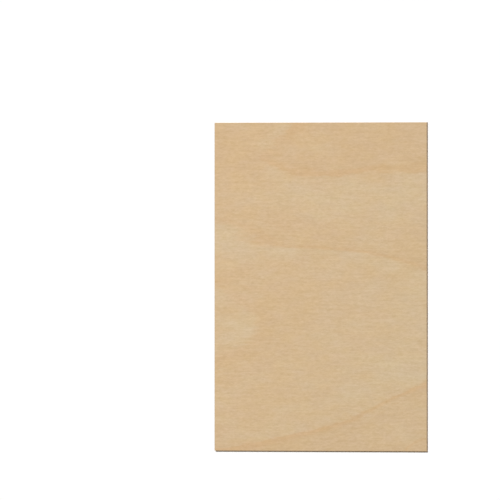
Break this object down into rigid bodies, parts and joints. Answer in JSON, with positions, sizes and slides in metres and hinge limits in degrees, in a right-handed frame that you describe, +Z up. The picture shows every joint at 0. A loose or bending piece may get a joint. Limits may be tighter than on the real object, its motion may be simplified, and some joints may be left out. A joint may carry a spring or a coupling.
{
  "type": "plywood sheet",
  "caption": "Flat rectangular sheet of pale birch plywood with smooth sanded faces and square sawn edges that show the crossed plies, for making and building small things.",
  "frame": {"origin": "centre of the sheet's underside", "axes": "+Z up through the thickness, +Y along the long side, +X along the short side, which is also the way the face grain runs"},
  "size_m": [0.3048, 0.4572, 0.006],
  "materials": {
    "birch_plywood": "matte"
  },
  "bodies": {
    "root": {"plywood_sheet": "birch_plywood"}
  },
  "joints": []
}
